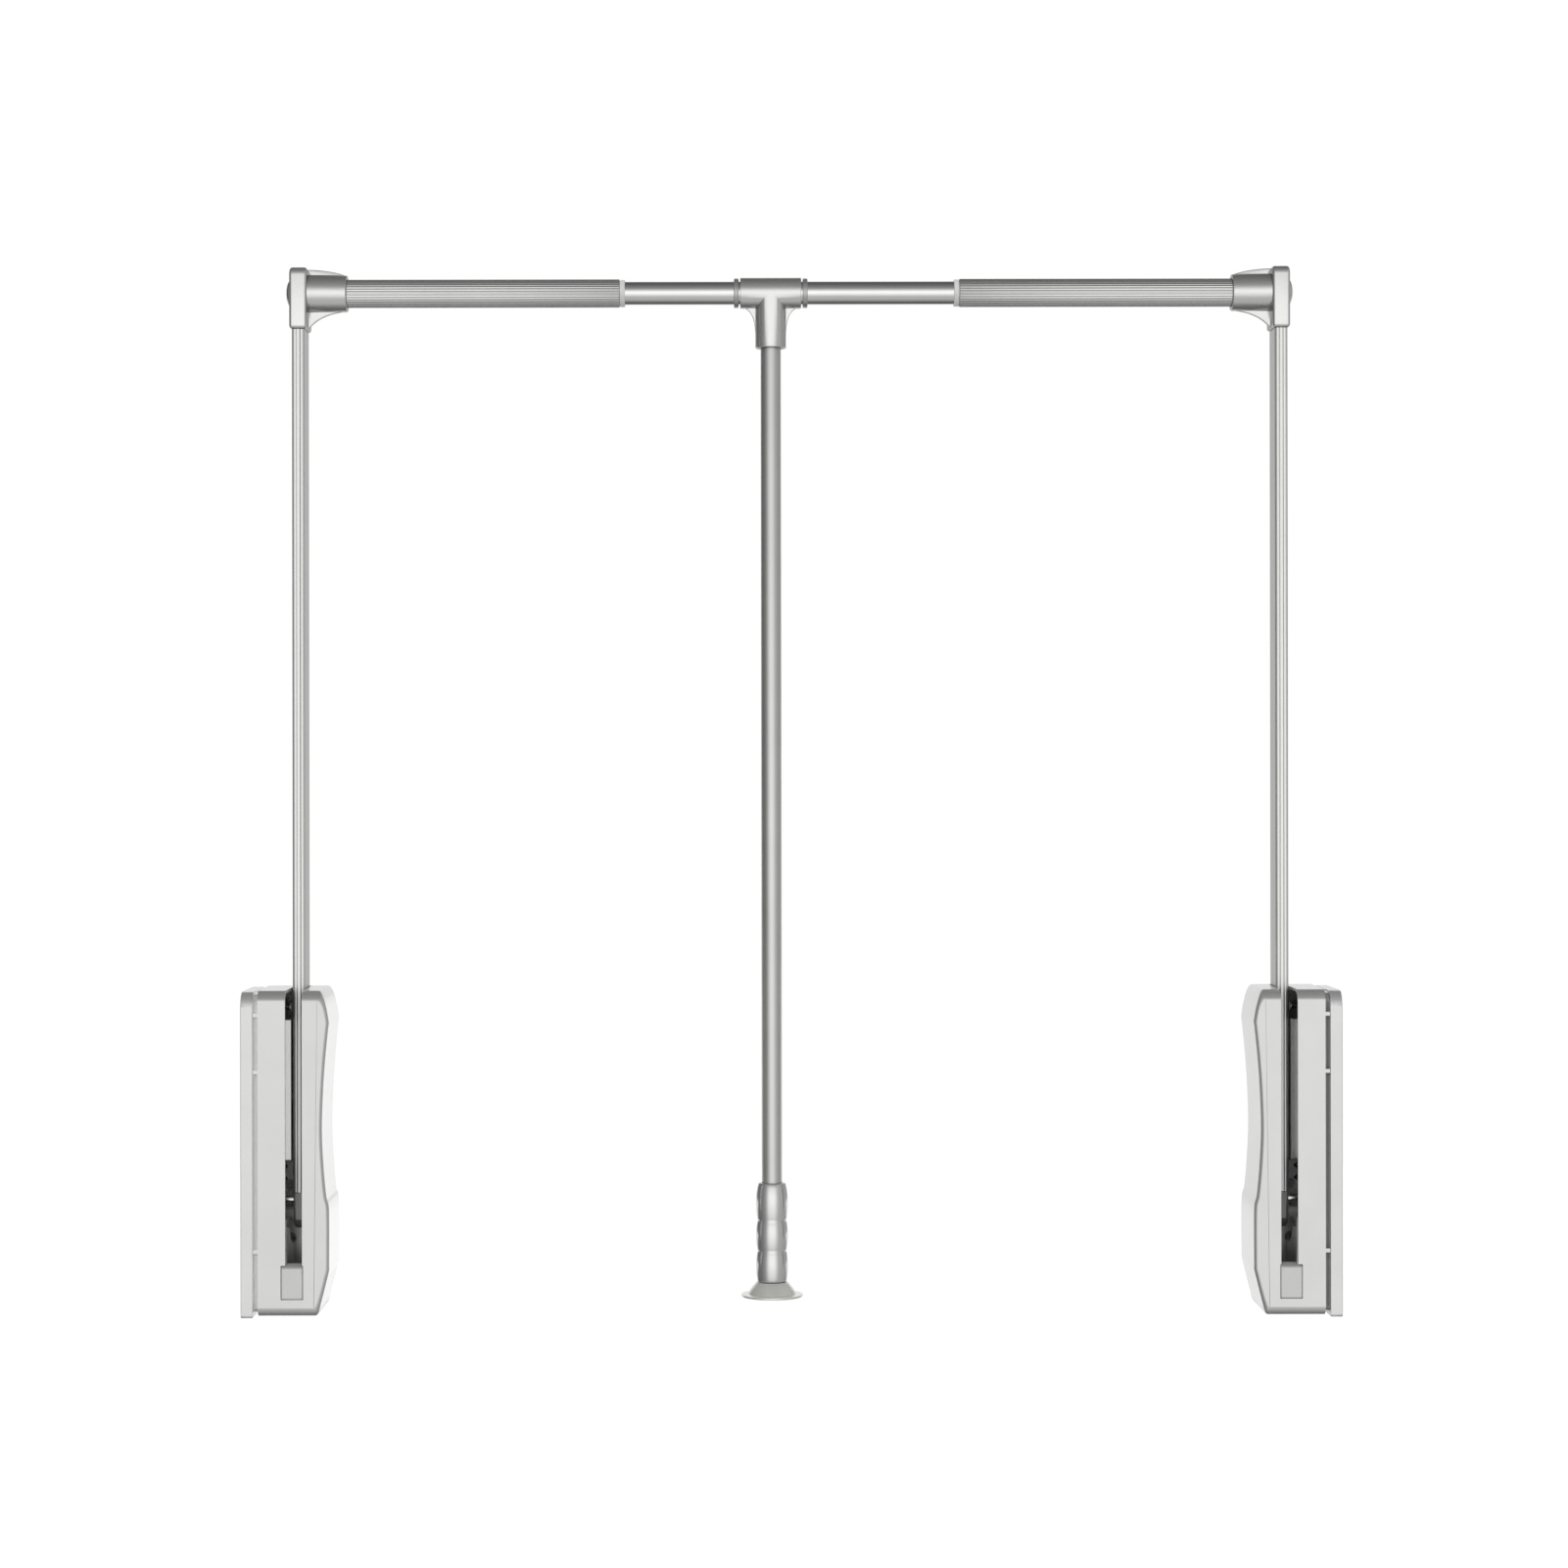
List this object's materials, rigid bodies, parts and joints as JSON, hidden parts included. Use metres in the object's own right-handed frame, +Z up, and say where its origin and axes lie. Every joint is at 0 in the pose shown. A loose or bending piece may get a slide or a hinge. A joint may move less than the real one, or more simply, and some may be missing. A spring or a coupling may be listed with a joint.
{
  "type": "pull down closet rod",
  "caption": "Wardrobe lift: a telescopic hanging rail on two sprung arms that swing forward out of slotted side housings, pulled down by a hinged rod with a moulded grip.",
  "frame": {"origin": "on the left housing's wall face, on the axis that both arms turn about", "axes": "+X to the right along the rail, -Y to the front, +Z up"},
  "size_m": [0.868, 0.0756, 0.8332],
  "materials": {
    "shell": "silver sprayed satin moulding",
    "plate": "silver sprayed satin moulding",
    "steel": "zinc plated pressed steel",
    "bright": "smooth bright plated steel",
    "arm": "satin anodised",
    "fluted": "fine flutes, satin anodised",
    "casting": "silver painted zinc casting",
    "grip": "satin silver lacquer",
    "flare": "satin champagne grey lacquer",
    "nylon": "grey nylon",
    "rubber": "dark grey elastomer",
    "stop": "grey elastomer stop",
    "spring": "oiled spring steel"
  },
  "bodies": {
    "left_housing": {"left_wall_plate": "plate", "left_housing_cover": "shell", "left_pivot_bracket": "steel", "left_bracket_screw_upper": "steel", "left_bracket_screw_lower": "steel", "left_pivot_axle": "bright", "left_axle_clip": "steel", "left_axle_spacer": "nylon", "left_spring_anchor": "bright", "left_return_spring": "spring", "left_rest_buffer": "rubber", "left_stop_block": "stop"},
    "left_arm": {"left_arm_tube": "arm", "left_arm_foot": "casting", "left_pivot_bush_outer": "nylon", "left_pivot_bush_inner": "nylon", "left_crank_pin": "bright", "left_corner_bracket": "casting", "left_cap_screw": "bright", "left_rail_tube": "fluted", "left_telescope_bush": "nylon"},
    "centre_tube": {"inner_tube": "bright", "left_collar": "casting", "right_collar": "casting"},
    "pull_handle": {"tee_piece": "casting", "rod_set_screw": "steel", "pull_rod": "bright", "grip": "grip", "grip_foot": "flare", "foot_screw": "steel"},
    "right_arm": {"right_arm_tube": "arm", "right_arm_foot": "casting", "right_pivot_bush_outer": "nylon", "right_pivot_bush_inner": "nylon", "right_crank_pin": "bright", "right_corner_bracket": "casting", "right_cap_screw": "bright", "right_rail_tube": "fluted", "right_telescope_bush": "nylon"},
    "right_housing": {"right_wall_plate": "plate", "right_housing_cover": "shell", "right_pivot_bracket": "steel", "right_bracket_screw_upper": "steel", "right_bracket_screw_lower": "steel", "right_pivot_axle": "bright", "right_axle_clip": "steel", "right_axle_spacer": "nylon", "right_spring_anchor": "bright", "right_return_spring": "spring", "right_rest_buffer": "rubber", "right_stop_block": "stop"}
  },
  "joints": [
    {"name": "left_arm_pivot", "type": "hinge", "parent": "left_housing", "child": "left_arm", "pos_m": [0.042, 0, 0], "axis": [1, 0, 0], "range_deg": [0, 112], "stiffness_Nm_per_rad": 8, "springref_deg": -34.38, "deforming": ["left_return_spring"]},
    {"name": "left_telescope", "type": "slide", "parent": "left_arm", "child": "centre_tube", "axis": [1, 0, 0], "range_m": [-0.085, 0.086]},
    {"name": "right_telescope", "type": "slide", "parent": "centre_tube", "child": "right_arm", "axis": [1, 0, 0], "range_m": [-0.116, 0.052]},
    {"name": "right_arm_pivot", "type": "hinge", "parent": "right_arm", "child": "right_housing", "pos_m": [0.826, 0, 0], "axis": [1, 0, 0], "range_deg": [-112, 0], "deforming": ["right_return_spring"]},
    {"name": "handle_swing", "type": "hinge", "parent": "centre_tube", "child": "pull_handle", "pos_m": [0.419, 0, 0.7364], "axis": [1, 0, 0], "continuous": true}
  ],
  "couplings": [
    {"joint": "right_arm_pivot", "follows": "left_arm_pivot", "ratio": -1}
  ]
}
